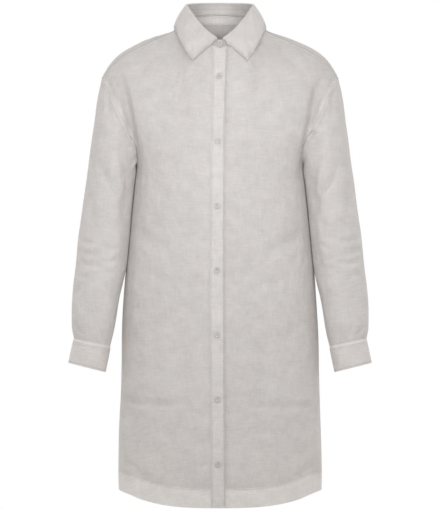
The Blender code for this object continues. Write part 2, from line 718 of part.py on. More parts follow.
def build():
    for piece in list(bpy.data.objects):
        bpy.data.objects.remove(piece)
    linen = make_material("linen", LINEN_COLOUR, LINEN_ROUGHNESS)
    button = make_material("button", BUTTON_COLOUR, BUTTON_ROUGHNESS)
    front, back, placket_sheet = make_body(linen)
    make_sleeve(front, back, linen)
    cuff_sheet, cuff_outward = make_cuff(linen)
    stand_sheet = make_stand(linen)
    make_leaf((front, back), linen)
    make_buttons(placket_sheet, stand_sheet, cuff_sheet, cuff_outward, button)


build()
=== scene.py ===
"""Long linen dress shirt, filled out as it is when worn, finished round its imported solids.

The cloth pieces come in the order in which a maker joins them, then the buttons, the thread that
holds them all together, and last the floor, the lights and the camera.
"""
import heapq
import math
from collections import namedtuple

import bmesh
import bpy
import numpy as np
from mathutils import Matrix, Vector, kdtree, noise
from mathutils.bvhtree import BVHTree


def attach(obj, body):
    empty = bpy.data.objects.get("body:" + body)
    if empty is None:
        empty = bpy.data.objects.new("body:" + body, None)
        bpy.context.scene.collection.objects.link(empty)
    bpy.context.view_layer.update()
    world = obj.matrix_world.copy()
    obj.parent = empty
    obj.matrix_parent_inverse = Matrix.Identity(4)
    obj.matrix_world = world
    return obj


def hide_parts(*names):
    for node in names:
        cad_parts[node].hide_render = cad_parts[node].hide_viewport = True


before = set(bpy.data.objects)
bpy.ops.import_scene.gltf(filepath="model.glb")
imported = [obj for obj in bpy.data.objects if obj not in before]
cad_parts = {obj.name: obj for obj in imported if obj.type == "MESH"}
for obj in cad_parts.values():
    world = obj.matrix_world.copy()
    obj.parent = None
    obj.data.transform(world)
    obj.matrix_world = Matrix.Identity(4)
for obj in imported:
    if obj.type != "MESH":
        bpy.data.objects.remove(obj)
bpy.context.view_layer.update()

# Back: one panel of loose plain-weave linen, brought over the shoulders to a seam that lies in
# front of their crest. Its hem is turned up and its seams are felled, which makes paler bands that
# are partly painted light, and the band inside the back neck is painted paler, partly as painted light.
# It is cut from the outer face of its solid, pressed with soft folds and given its thickness.
CLOTH_WALL = 0.0013
RIM_ANGLE = 70.0
CORNER_ANGLE = 35.0
RUMPLE_HEIGHT = 0.0016
RUMPLE_SPACING = 0.055
HEM_TURN = 0.0355
SEAM_TURN = 0.008
HEM_LOW = -0.881
HEM_RISE = 0.033
HEM_HALF = 0.187
VENT_TOP = -0.847
UNDERARM = -0.252
SHOULDER_SEAM = -0.0925
SIDE_REACH = 0.145
NECK_REACH = 0.0645
PLACKET_MIDDLE = -0.004
PLACKET_FLAT = 0.018
PLACKET_FADE = 0.030
NECK_BAND = 0.0208
STITCH_INSET = 0.0018
STITCH_PITCH = 0.0030
STITCH_RADIUS = 0.00035
STITCH_HALF_SHARE = 0.40
STITCH_LIFT = 0.00015
SIDE_PROBE = 0.004
STRAY_SHARE = 0.93
LINEN = (0.655, 0.622, 0.603)
Crease = namedtuple("Crease", "start bend end width depth")
# Turn columns: name, width turned in, paler (the double layer painted paler, partly as painted light),
# shadow (painted shadow along the edge) and test (which outline points it takes).
Turn = namedtuple("Turn", "name width paler shadow test")
BACK_CREASES = (
    Crease((0.181, -0.100), (0.166, -0.150), (0.159, -0.236), 0.011, 0.0050),
    Crease((-0.179, -0.104), (-0.167, -0.160), (-0.158, -0.240), 0.012, 0.0055),
    Crease((0.100, -0.052), (0.075, -0.150), (0.082, -0.270), 0.016, 0.0024),
    Crease((-0.085, -0.058), (-0.070, -0.190), (-0.092, -0.320), 0.018, 0.0028),
    Crease((0.150, -0.330), (0.095, -0.372), (0.040, -0.368), 0.013, 0.0026),
    Crease((-0.152, -0.345), (-0.110, -0.392), (-0.050, -0.402), 0.014, 0.0030),
    Crease((0.148, -0.395), (0.110, -0.420), (0.082, -0.418), 0.010, 0.0018),
    Crease((0.112, -0.470), (0.100, -0.640), (0.118, -0.830), 0.020, 0.0032),
    Crease((-0.090, -0.500), (-0.104, -0.690), (-0.098, -0.850), 0.022, 0.0036),
    Crease((0.018, -0.560), (0.026, -0.700), (0.010, -0.820), 0.024, 0.0020),
)
PANEL_TURNS = (
    Turn("hem", HEM_TURN, 0.165, 0.0,
         lambda spot: spot.z < HEM_LOW + HEM_RISE * (abs(spot.x) / HEM_HALF) ** 3),
    Turn("side", SEAM_TURN, 0.040, 0.10,
         lambda spot: abs(spot.x) > SIDE_REACH and VENT_TOP < spot.z < UNDERARM),
    # The armhole band is painted paler, partly for the felled double layer and partly as a painted highlight
    # along the seam.
    Turn("armhole", SEAM_TURN, 0.120, 0.00,
         lambda spot: abs(spot.x) > SIDE_REACH and UNDERARM < spot.z < SHOULDER_SEAM),
    # The shoulder seam carries a band of painted shade below its crest.
    Turn("shoulder", SEAM_TURN, 0.045, 0.20,
         lambda spot: abs(spot.x) > NECK_REACH and spot.z > SHOULDER_SEAM),
)
BACK_TURNS = (
    *PANEL_TURNS,
    # The band inside the back neck is painted paler, partly for its double layer and partly as painted light
    # in the shaded neck.
    Turn("neck", NECK_BAND, 0.20, 0.0,
         lambda spot: abs(spot.x) < NECK_REACH and spot.z > SHOULDER_SEAM),
)


def outer_sheet(name, node, middle=None):
    """Outer face of a packed cloth wall as an open sheet of quads, facing away from its middle."""
    shape = bmesh.new()
    shape.from_mesh(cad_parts[node].data)
    bmesh.ops.remove_doubles(shape, verts=shape.verts, dist=0.00002)
    bmesh.ops.join_triangles(shape, faces=shape.faces, angle_face_threshold=math.radians(50),
                             angle_shape_threshold=math.radians(75))
    limit = math.radians(RIM_ANGLE)
    waiting, best, best_score = set(shape.faces), [], -1.0
    while waiting:
        island, edge_of_search, score = [], [waiting.pop()], 0.0
        while edge_of_search:
            face = edge_of_search.pop()
            island.append(face)
            centre = face.calc_center_median()
            away = centre - (Vector((0.0, 0.0, centre.z)) if middle is None else middle(centre))
            score += face.calc_area() * face.normal.dot(away)
            for edge in face.edges:
                for other in edge.link_faces:
                    if other in waiting and edge.calc_face_angle(0.0) < limit:
                        waiting.discard(other)
                        edge_of_search.append(other)
        if score > best_score:
            best, best_score = island, score
    keep = set(best)
    bmesh.ops.delete(shape, geom=[face for face in shape.faces if face not in keep], context="FACES")
    mesh = bpy.data.meshes.new(name)
    shape.to_mesh(mesh)
    shape.free()
    piece = bpy.data.objects.new(name, mesh)
    bpy.context.scene.collection.objects.link(piece)
    return piece


def settled(piece):
    """Applies a piece's modifiers."""
    depsgraph = bpy.context.evaluated_depsgraph_get()
    mesh = bpy.data.meshes.new_from_object(piece.evaluated_get(depsgraph))
    piece.modifiers.clear()
    old = piece.data
    piece.data = mesh
    bpy.data.meshes.remove(old)
    mesh.name = piece.name


def smoothed(piece, levels):
    """Subdivides a sheet and keeps the corners of its outline sharp."""
    shape = bmesh.new()
    shape.from_mesh(piece.data)
    sharpness = shape.verts.layers.float.new("crease_vert")
    for vertex in shape.verts:
        ways = [edge.other_vert(vertex).co - vertex.co for edge in vertex.link_edges if edge.is_boundary]
        if len(ways) == 2 and ways[0].angle(-ways[1]) > math.radians(CORNER_ANGLE):
            vertex[sharpness] = 1.0
    shape.to_mesh(piece.data)
    shape.free()
    modifier = piece.modifiers.new("Smooth", "SUBSURF")
    modifier.levels = modifier.render_levels = levels
    modifier.boundary_smooth = "PRESERVE_CORNERS"
    settled(piece)


def positions(mesh):
    points = np.empty(len(mesh.vertices) * 3)
    mesh.vertices.foreach_get("co", points)
    return points.reshape(-1, 3)


def press(piece, creases, facing):
    """Presses creases into a sheet: a trough between two low ridges, fading out at both ends.

    A crease of negative depth stands out as a ridge instead.
    """
    mesh = piece.data
    points = positions(mesh)
    normals = np.array([vertex.normal[:] for vertex in mesh.vertices])
    flat = points[:, (0, 2)] if facing[0] == 0 else points[:, (1, 2)]
    lift = np.zeros(len(points))
    for crease in creases:
        start, bend, end = (np.array(place) for place in (crease.start, crease.bend, crease.end))
        nearest = np.full(len(points), 9.0)
        along = np.zeros(len(points))
        for share in np.linspace(0.0, 1.0, 41):
            place = start * (1 - share) ** 2 + 2 * bend * share * (1 - share) + end * share ** 2
            distance = np.linalg.norm(flat - place, axis=1)
            closer = distance < nearest
            nearest[closer], along[closer] = distance[closer], share
        across = (nearest / crease.width) ** 2
        fade = np.clip(4 * along * (1 - along), 0.0, 1.0) ** 0.6
        lift -= crease.depth * fade * (1 - 0.9 * across) * np.exp(-across)
    lift *= np.clip(normals @ np.array(facing) * 1.6, 0.0, 1.0) * off_placket(points)
    points += normals * lift[:, None]
    mesh.vertices.foreach_set("co", points.ravel())
    mesh.update()


def off_placket(points):
    """0 on the placket's strip of the front, where the buttoned layers lie flat, and 1 beyond it."""
    from_strip = np.abs(points[:, 0] - PLACKET_MIDDLE) - PLACKET_FLAT
    share = np.clip(from_strip / PLACKET_FADE, 0.0, 1.0)
    return np.where(points[:, 1] < 0.0, share * share * (3 - 2 * share), 1.0)


def rumple(piece, height, spacing, seed):
    """Unevenness that loose linen keeps, too soft for a crease."""
    mesh = piece.data
    points = positions(mesh)
    normals = np.array([vertex.normal[:] for vertex in mesh.vertices])
    places = points * (1.0, 1.0, 0.6) / spacing + (seed, 0.0, 0.0)
    lift = np.array([noise.noise(place) for place in places]) * height * off_placket(points)
    points += normals * lift[:, None]
    mesh.vertices.foreach_set("co", points.ravel())
    mesh.update()


def outline(piece):
    """Edges of an open sheet as closed loops of points and normals."""
    shape = bmesh.new()
    shape.from_mesh(piece.data)
    left = {edge for edge in shape.edges if len(edge.link_faces) == 1}
    loops = []
    while left:
        first = left.pop()
        loop, at = [first.verts[0], first.verts[1]], first.verts[1]
        while True:
            following = [edge for edge in at.link_edges if edge in left]
            if not following:
                break
            left.discard(following[0])
            at = following[0].other_vert(at)
            loop.append(at)
        loops.append([(vertex.co.copy(), vertex.normal.copy()) for vertex in loop[:-1]])
    shape.free()
    return loops


def along(loops, test):
    """Runs of an outline's points that pass a test."""
    runs = []
    for loop in loops:
        passes = [test(spot) for spot, _ in loop]
        if all(passes):
            runs.append(loop + loop[:1])
            continue
        start = passes.index(False)
        run = []
        for index in range(start, start + len(loop) + 1):
            if passes[index % len(loop)]:
                run.append(loop[index % len(loop)])
            elif run:
                runs.append(run)
                run = []
    return [run for run in runs if len(run) > 3]


def join_edge(piece, neighbours, reach=0.0035, blend=0.012):
    """Draws a sheet's edge up to the edges that it is sewn to, so that no gap shows at the seam."""
    sewn_to = tree_of([loop + loop[:1] for loops in neighbours for loop in loops])
    spots, shifts = [], []
    for loop in outline(piece):
        for spot, _ in loop:
            target, _, distance = sewn_to.find(spot)
            if distance < reach:
                spots.append(spot)
                shifts.append(target - spot)
    tree = kdtree.KDTree(len(spots))
    for index, spot in enumerate(spots):
        tree.insert(spot, index)
    tree.balance()
    for vertex in piece.data.vertices:
        _, index, distance = tree.find(vertex.co)
        if distance < blend:
            share = 1 - distance / blend
            vertex.co += shifts[index] * share * share * (3 - 2 * share)
    piece.data.update()


def tree_of(runs):
    points = [spot.lerp(after, share) for run in runs for (spot, _), (after, _) in zip(run, run[1:])
              for share in (0.0, 0.25, 0.5, 0.75)]
    tree = kdtree.KDTree(len(points))
    for index, point in enumerate(points):
        tree.insert(point, index)
    tree.balance()
    return tree


def thread_path(surface, run, distance):
    """Line on the sheet at a distance inside one of its edges, on which a row of stitches lies."""
    sides = []
    for (before, _), (spot, normal), (after, _) in zip(run, run[1:], run[2:]):
        sides.append((after - before).cross(normal).normalized())
    sides = [sides[0], *sides, sides[-1]]
    middle = len(run) // 2
    spot = run[middle][0]
    off = [surface.find_nearest(spot + sides[middle] * sign * SIDE_PROBE)[3] for sign in (1, -1)]
    sign = 1 if off[0] < off[1] else -1
    near = tree_of([run])
    path = []
    for (spot, _), side in zip(run, sides):
        place, normal, _, _ = surface.find_nearest(spot + side * sign * distance)
        if near.find(place)[2] > distance * STRAY_SHARE:
            path.append(place + normal * STITCH_LIFT)
    return path


def surface_of(piece):
    """Search tree over a piece's faces."""
    return BVHTree.FromPolygons([vertex.co for vertex in piece.data.vertices],
                                [face.vertices for face in piece.data.polygons])


def turn_edges(piece, turns):
    """Marks where a piece's edges are turned in, and returns the lines of their stitches."""
    surface = surface_of(piece)
    loops = outline(piece)
    paths = []
    for turn in turns:
        runs = along(loops, turn.test)
        tree = tree_of(runs)
        layer = piece.data.attributes.new(turn.name, "FLOAT", "POINT")
        layer.data.foreach_set("value", [tree.find(vertex.co)[2] for vertex in piece.data.vertices])
        paths += [thread_path(surface, run, turn.width - STITCH_INSET) for run in runs]
    return paths


def unroll(piece, seam=None):
    """Lays the sheet out flat as its UV map, in metres, with the cloth's length upwards."""
    if seam:
        open_along(piece, *seam)
    bpy.context.view_layer.objects.active = piece
    piece.select_set(True)
    bpy.ops.object.mode_set(mode="EDIT")
    bpy.ops.mesh.select_all(action="SELECT")
    bpy.ops.uv.unwrap(method="CONFORMAL", margin=0.0)
    bpy.ops.object.mode_set(mode="OBJECT")
    piece.select_set(False)
    mesh = piece.data
    layer = mesh.uv_layers.active
    flat = np.empty(len(layer.data) * 2)
    layer.data.foreach_get("uv", flat)
    flat = flat.reshape(-1, 2)
    corners = np.empty(len(mesh.loops), int)
    mesh.loops.foreach_get("vertex_index", corners)
    heights = positions(mesh)[corners, 2]
    centred = flat - flat.mean(0)
    slope = np.linalg.lstsq(centred, heights - heights.mean(), rcond=None)[0]
    up = slope / np.linalg.norm(slope)
    turned = np.stack((centred @ np.array((up[1], -up[0])), centred @ up), axis=1)
    shown = sum(face.area for face in mesh.polygons)
    laid = 0.0
    for face in mesh.polygons:
        ring = turned[face.loop_start:face.loop_start + face.loop_total]
        after = np.roll(ring, -1, axis=0)
        laid += abs(np.sum(ring[:, 0] * after[:, 1] - ring[:, 1] * after[:, 0])) / 2
    turned *= math.sqrt(shown / laid)
    layer.data.foreach_set("uv", (turned - turned.min(0)).ravel())


def open_along(piece, start, end):
    """Marks the line of edges between two places as the seam along which a tube is opened."""
    shape = bmesh.new()
    shape.from_mesh(piece.data)
    first = min(shape.verts, key=lambda vertex: (vertex.co - start).length)
    last = min(shape.verts, key=lambda vertex: (vertex.co - end).length)
    reached = {first: (0.0, None)}
    queue = [(0.0, first.index, first)]
    while queue:
        length, _, vertex = heapq.heappop(queue)
        if vertex is last:
            break
        for edge in vertex.link_edges:
            other, total = edge.other_vert(vertex), length + edge.calc_length()
            if other not in reached or total < reached[other][0]:
                reached[other] = (total, edge)
                heapq.heappush(queue, (total, other.index, other))
    vertex = last
    while vertex is not first:
        edge = reached[vertex][1]
        edge.seam = True
        vertex = edge.other_vert(vertex)
    shape.to_mesh(piece.data)
    shape.free()


def thickened(piece, wall):
    """Gives a sheet its thickness, on its inner side."""
    modifier = piece.modifiers.new("Thickness", "SOLIDIFY")
    modifier.thickness = wall
    modifier.offset = -1.0
    settled(piece)
    piece.data.shade_smooth()
    piece.data.set_sharp_from_angle(angle=math.radians(60))


class Socket:
    """A shader output, on which Python's operators add Math nodes."""

    def __init__(self, finish, link):
        self.finish = finish
        self.link = link

    def math(self, operation, *values):
        return self.finish.node("ShaderNodeMath", {"operation": operation}, values)

    def __add__(self, other):
        return self.math("ADD", self, other)

    def __radd__(self, other):
        return self.math("ADD", other, self)

    def __sub__(self, other):
        return self.math("SUBTRACT", self, other)

    def __rsub__(self, other):
        return self.math("SUBTRACT", other, self)

    def __mul__(self, other):
        return self.math("MULTIPLY", self, other)

    def __rmul__(self, other):
        return self.math("MULTIPLY", other, self)

    def band(self, low, high):
        """1 above high, 0 below low, and smooth between them."""
        return self.finish.node("ShaderNodeMapRange", {"interpolation_type": "SMOOTHSTEP"},
                                {"Value": self, "From Min": low, "From Max": high})


class Finish:
    """A material on one Principled BSDF."""

    def __init__(self, name):
        self.material = bpy.data.materials.new(name)
        self.material.use_nodes = True
        self.tree = self.material.node_tree
        self.shader = self.tree.nodes["Principled BSDF"]

    def node(self, kind, settings, inputs, output=0):
        made = self.tree.nodes.new(kind)
        for name, value in settings.items():
            setattr(made, name, value)
        pairs = inputs.items() if isinstance(inputs, dict) else enumerate(inputs)
        for key, value in pairs:
            self.feed(made.inputs[key], value)
        return Socket(self, made.outputs[output]) if made.outputs else None

    def feed(self, socket, value):
        if isinstance(value, Socket):
            self.tree.links.new(value.link, socket)
        else:
            socket.default_value = value

    def grain(self, place, across, along, detail=2.0):
        """Noise stretched to different scales across and along the cloth, from 0 to 1."""
        scaled = self.node("ShaderNodeMapping", {}, {"Vector": place, "Scale": (across, along, 1.0)})
        return self.node("ShaderNodeTexNoise", {"noise_dimensions": "2D"},
                         {"Vector": scaled, "Scale": 1.0, "Detail": detail, "Roughness": 0.55})


def linen_finish(name, turns=(), painted_light_level=1.0):
    """Natural linen with slubs, mottling partly painted as crumple shade, and a plain weave; paler where
    double, partly as painted light; painted shade at stitch lines and painted shadow at edges; each piece
    painted lighter or darker as it is lit.
    """
    finish = Finish(name)
    place = finish.node("ShaderNodeUVMap", {"uv_map": "UVMap"}, {})
    warp = finish.grain(place, 800.0, 60.0)
    weft = finish.grain(place, 64.0, 780.0)
    slub = finish.grain(place, 300.0, 26.0, 1.0)
    cross_slub = finish.grain(place, 34.0, 320.0, 1.0)
    cloud = finish.grain(place, 9.0, 7.0, 3.0)
    # This mottle is partly the linen's own uneven tone and partly painted shade of fine crumples, which the
    # bump barely shades.
    mottle_and_crumple_shade = finish.grain(place, 34.0, 42.0, 3.0)
    crush = finish.grain(place, 46.0, 30.0, 2.0)
    # The whole piece's colour is scaled by its level: above 1 it is painted lighter as painted light, below
    # 1 darker as painted shade.
    shade = (1.0 + (warp - 0.5) * 0.13 + (weft - 0.5) * 0.15 + (slub - 0.5) * 0.050
             + (cross_slub - 0.5) * 0.100 + (cloud - 0.5) * 0.10 + (mottle_and_crumple_shade - 0.5) * 0.17) * painted_light_level
    height = (warp + weft) * 0.00016 + (crush - 0.5) * 0.0034
    for turn in turns:
        away = finish.node("ShaderNodeAttribute", {"attribute_name": turn.name}, {}, "Fac")
        double = 1.0 - away.band(turn.width - 0.0006, turn.width + 0.0006)
        from_line = away - (turn.width - STITCH_INSET)
        beside = from_line.math("ABSOLUTE", from_line)
        # The stitch line is painted darker, as painted shade in the pucker of its groove.
        line = 1.0 - beside.band(0.0002, 0.0011)
        pucker = 1.0 - beside.band(0.0005, 0.0060)
        below = away.band(turn.width - 0.001, turn.width + 0.001)
        beyond = away.band(turn.width, turn.width * 1.6)
        # The doubled band is painted paler, partly as painted light, with a strip of painted shade just past
        # its edge.
        shade = shade * (1.0 + (double - 0.3 * (below - beyond)) * turn.paler) * (1.0 - line * 0.14)
        # Painted shadow: a darker strip along the edge itself, standing in for the shadow that the edge
        # casts.
        shade = shade * (1.0 - (1.0 - away.band(0.0006, 0.0030)) * turn.shadow)
        height = height + double * 0.0003 - line * 0.0002 + (mottle_and_crumple_shade - 0.5) * pucker * 0.0011
    colour = finish.node("ShaderNodeMix", {"data_type": "RGBA", "blend_type": "MULTIPLY"},
                         {0: 1.0, 6: (*LINEN, 1.0), 7: shade}, 2)
    finish.feed(finish.shader.inputs["Base Color"], colour)
    finish.shader.inputs["Roughness"].default_value = 0.9
    finish.shader.inputs["Sheen Weight"].default_value = 0.22
    finish.shader.inputs["Subsurface Weight"].default_value = 0.35
    finish.shader.inputs["Subsurface Radius"].default_value = (1.0, 0.94, 0.90)
    finish.shader.inputs["Subsurface Scale"].default_value = 0.004
    finish.shader.inputs["Specular IOR Level"].default_value = 0.25
    bump = finish.node("ShaderNodeBump", {}, {"Height": height, "Strength": 0.9, "Distance": 1.0})
    finish.feed(finish.shader.inputs["Normal"], bump)
    return finish.material


def declare(piece, material, flat, area, *nodes):
    """Hangs a finished cloth piece on the frame in place of its solids."""
    piece.data.materials.clear()
    piece.data.materials.append(material)
    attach(piece, "root")
    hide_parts(*nodes)


def thread_finish():
    finish = Finish("linen_thread")
    place = finish.node("ShaderNodeTexCoord", {}, {}, "Object")
    ply = finish.node("ShaderNodeTexNoise", {}, {"Vector": place, "Scale": 1500.0, "Detail": 1.0})
    shade = 0.94 + ply * 0.12
    colour = finish.node("ShaderNodeMix", {"data_type": "RGBA", "blend_type": "MULTIPLY"},
                         {0: 1.0, 6: (0.66, 0.64, 0.61, 1.0), 7: shade}, 2)
    finish.feed(finish.shader.inputs["Base Color"], colour)
    finish.shader.inputs["Roughness"].default_value = 0.7
    return finish.material


def stitch_rows():
    """Geometry Nodes tree that lays stitches end to end along the edges of a mesh."""
    tree = bpy.data.node_groups.new("Rows of stitches", "GeometryNodeTree")
    tree.is_modifier = True
    for name, kind, default in (("Paths", "NodeSocketGeometry", None),
                                ("Pitch", "NodeSocketFloat", STITCH_PITCH),
                                ("Thickness", "NodeSocketFloat", STITCH_RADIUS),
                                ("Thread", "NodeSocketMaterial", None)):
        socket = tree.interface.new_socket(name, in_out="INPUT", socket_type=kind)
        if default:
            socket.default_value = default
    tree.interface.new_socket("Stitches", in_out="OUTPUT", socket_type="NodeSocketGeometry")

    def add(kind, **settings):
        node = tree.nodes.new(kind)
        for name, value in settings.items():
            setattr(node, name, value)
        return node

    given, result = add("NodeGroupInput"), add("NodeGroupOutput")
    curve = add("GeometryNodeMeshToCurve")
    spaced = add("GeometryNodeResampleCurve", mode="LENGTH")
    tangent = add("GeometryNodeInputTangent")
    align = add("FunctionNodeAlignRotationToVector", axis="Z")
    stitch = add("GeometryNodeMeshUVSphere")
    stitch.inputs["Segments"].default_value = 6
    stitch.inputs["Rings"].default_value = 4
    stitch.inputs["Radius"].default_value = 1.0
    half = add("ShaderNodeMath", operation="MULTIPLY")
    half.inputs[1].default_value = STITCH_HALF_SHARE
    size = add("ShaderNodeCombineXYZ")
    placed = add("GeometryNodeInstanceOnPoints")
    real = add("GeometryNodeRealizeInstances")
    coloured = add("GeometryNodeSetMaterial")
    link = tree.links.new
    link(given.outputs["Paths"], curve.inputs["Mesh"])
    link(curve.outputs["Curve"], spaced.inputs["Curve"])
    link(given.outputs["Pitch"], spaced.inputs["Length"])
    link(tangent.outputs["Tangent"], align.inputs["Vector"])
    link(spaced.outputs["Curve"], placed.inputs["Points"])
    link(stitch.outputs["Mesh"], placed.inputs["Instance"])
    link(align.outputs["Rotation"], placed.inputs["Rotation"])
    link(given.outputs["Pitch"], half.inputs[0])
    link(given.outputs["Thickness"], size.inputs["X"])
    link(given.outputs["Thickness"], size.inputs["Y"])
    link(half.outputs["Value"], size.inputs["Z"])
    link(size.outputs["Vector"], placed.inputs["Scale"])
    link(placed.outputs["Instances"], real.inputs["Geometry"])
    link(real.outputs["Geometry"], coloured.inputs["Geometry"])
    link(given.outputs["Thread"], coloured.inputs["Material"])
    link(coloured.outputs["Geometry"], result.inputs["Stitches"])
    return tree


def sew(name, paths):
    """Rows of stitches along some lines, as one mesh."""
    mesh = bpy.data.meshes.new(name)
    points, edges = [], []
    for path in paths:
        edges += [(len(points) + index, len(points) + index + 1) for index in range(len(path) - 1)]
        points += path
    mesh.from_pydata(points, edges, [])
    rows = bpy.data.objects.new(name, mesh)
    bpy.context.scene.collection.objects.link(rows)
    modifier = rows.modifiers.new("Stitches", "NODES")
    modifier.node_group = stitches
    for socket in stitches.interface.items_tree:
        if socket.name == "Thread":
            modifier[socket.identifier] = thread
    settled(rows)
    rows.data.shade_smooth()
    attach(rows, "root")


stitches = stitch_rows()
thread = thread_finish()

back = outer_sheet("back_panel", "back")
smoothed(back, 2)
press(back, BACK_CREASES, (0, 1, 0))
rumple(back, RUMPLE_HEIGHT, RUMPLE_SPACING, 3.0)
back_outline = outline(back)
back_paths = turn_edges(back, BACK_TURNS)
unroll(back)
thickened(back, CLOTH_WALL)
back_surface = surface_of(back)
declare(back, linen_finish("linen_back", BACK_TURNS), (0.56, 0.98), 0.44, "back")
sew("back_stitches", back_paths)

# Fronts: two panels of the same linen from the neck to the curved hem. The wearer's left one
# runs on under the placket, and the right one carries it. Both are felled to the back at the
# sides and to the sleeves at the armholes, and hang in soft folds from the chest.
FRONT_CREASES = (
    Crease((-0.187, -0.084), (-0.168, -0.140), (-0.151, -0.280), 0.0110, 0.0125),
    Crease((0.188, -0.086), (0.169, -0.146), (0.151, -0.282), 0.0115, 0.0120),
    Crease((-0.158, -0.362), (-0.134, -0.398), (-0.092, -0.412), 0.0150, 0.0042),
    Crease((0.158, -0.368), (0.132, -0.402), (0.086, -0.410), 0.0160, 0.0038),
    Crease((-0.152, -0.405), (-0.138, -0.430), (-0.118, -0.441), 0.0090, 0.0020),
    Crease((0.150, -0.408), (0.140, -0.428), (0.124, -0.436), 0.0080, 0.0018),
    Crease((-0.136, -0.255), (-0.116, -0.300), (-0.078, -0.335), 0.0170, 0.0016),
    Crease((0.138, -0.262), (0.118, -0.312), (0.084, -0.350), 0.0180, 0.0018),
    Crease((-0.060, -0.080), (-0.052, -0.150), (-0.066, -0.230), 0.0180, 0.0012),
    Crease((0.066, -0.086), (0.058, -0.160), (0.070, -0.250), 0.0190, 0.0013),
    Crease((-0.128, -0.500), (-0.116, -0.660), (-0.132, -0.830), 0.0200, 0.0030),
    Crease((0.132, -0.520), (0.122, -0.690), (0.136, -0.835), 0.0210, 0.0032),
    Crease((-0.062, -0.560), (-0.058, -0.700), (-0.068, -0.850), 0.0190, 0.0016),
    Crease((0.068, -0.580), (0.060, -0.720), (0.072, -0.855), 0.0200, 0.0018),
    Crease((-0.192, -0.684), (-0.130, -0.694), (-0.050, -0.690), 0.0070, 0.0048),
    Crease((-0.170, -0.676), (-0.152, -0.770), (-0.166, -0.868), 0.0200, 0.0090),
    Crease((-0.190, -0.792), (-0.160, -0.812), (-0.118, -0.838), 0.0085, 0.0046),
    Crease((-0.062, -0.788), (-0.050, -0.822), (-0.058, -0.856), 0.0150, 0.0030),
    Crease((-0.150, -0.440), (-0.104, -0.470), (-0.060, -0.462), 0.0100, 0.0018),
    Crease((-0.120, -0.745), (-0.084, -0.752), (-0.050, -0.744), 0.0070, 0.0018),
    Crease((0.190, -0.690), (0.132, -0.698), (0.044, -0.694), 0.0074, 0.0046),
    Crease((0.168, -0.686), (0.153, -0.776), (0.165, -0.870), 0.0205, 0.0086),
    Crease((0.189, -0.796), (0.158, -0.818), (0.122, -0.841), 0.0088, 0.0042),
    Crease((0.056, -0.780), (0.046, -0.816), (0.052, -0.860), 0.0160, 0.0032),
    Crease((0.146, -0.446), (0.100, -0.474), (0.064, -0.470), 0.0100, 0.0020),
    Crease((0.126, -0.738), (0.090, -0.748), (0.048, -0.742), 0.0070, 0.0016),
    Crease((-0.206, -0.120), (-0.196, -0.142), (-0.184, -0.166), 0.0045, -0.0034),
    Crease((0.205, -0.122), (0.195, -0.144), (0.184, -0.168), 0.0045, -0.0032),
    Crease((-0.118, -0.040), (-0.130, -0.062), (-0.152, -0.078), 0.0100, 0.0022),
    Crease((0.114, -0.040), (0.128, -0.060), (0.150, -0.074), 0.0100, 0.0020),
)

body_outlines = [back_outline]
body_surfaces = [back_surface]
for side, flat_size in (("right", (0.30, 0.95)), ("left", (0.32, 0.95))):
    front = outer_sheet("front_panel_" + side, "front_" + side)
    smoothed(front, 3)
    press(front, FRONT_CREASES, (0, -1, 0))
    rumple(front, RUMPLE_HEIGHT, RUMPLE_SPACING, 3.0)
    join_edge(front, [back_outline])
    body_outlines.append(outline(front))
    paths = turn_edges(front, PANEL_TURNS)
    unroll(front)
    thickened(front, CLOTH_WALL)
    body_surfaces.append(surface_of(front))
    declare(front, linen_finish("linen_front_" + side, PANEL_TURNS), flat_size, 0.23, "front_" + side)
    sew("front_stitches_" + side, paths)

# Placket: a doubled strip of linen down the right front, 26 mm wide, stitched along both edges.
# Being double it lies flatter, and it is painted paler than the panel that carries it, partly for its
# double layer and partly as painted light. Its free edge, on the wearer's left, has a thin painted shadow
# along it.
PLACKET_WALL = 0.0012
PLACKET_TURN = 0.0038
PLACKET_TOP = -0.036
placket = outer_sheet("placket_strip", "placket")
smoothed(placket, 3)
placket_turns = [
    Turn("seam", PLACKET_TURN, 0.010, 0.00,
         lambda spot: HEM_LOW < spot.z < PLACKET_TOP and spot.x < PLACKET_MIDDLE),
    Turn("lap", PLACKET_TURN, 0.010, 0.14,
         lambda spot: HEM_LOW < spot.z < PLACKET_TOP and spot.x > PLACKET_MIDDLE),
]
placket_paths = turn_edges(placket, placket_turns)
unroll(placket)
thickened(placket, PLACKET_WALL)
# The placket's linen is painted lighter, partly for its double layer and partly as painted light.
declare(placket, linen_finish("linen_placket", placket_turns, 1.11), (0.027, 0.87), 0.0225, "placket")
sew("placket_stitches", placket_paths)

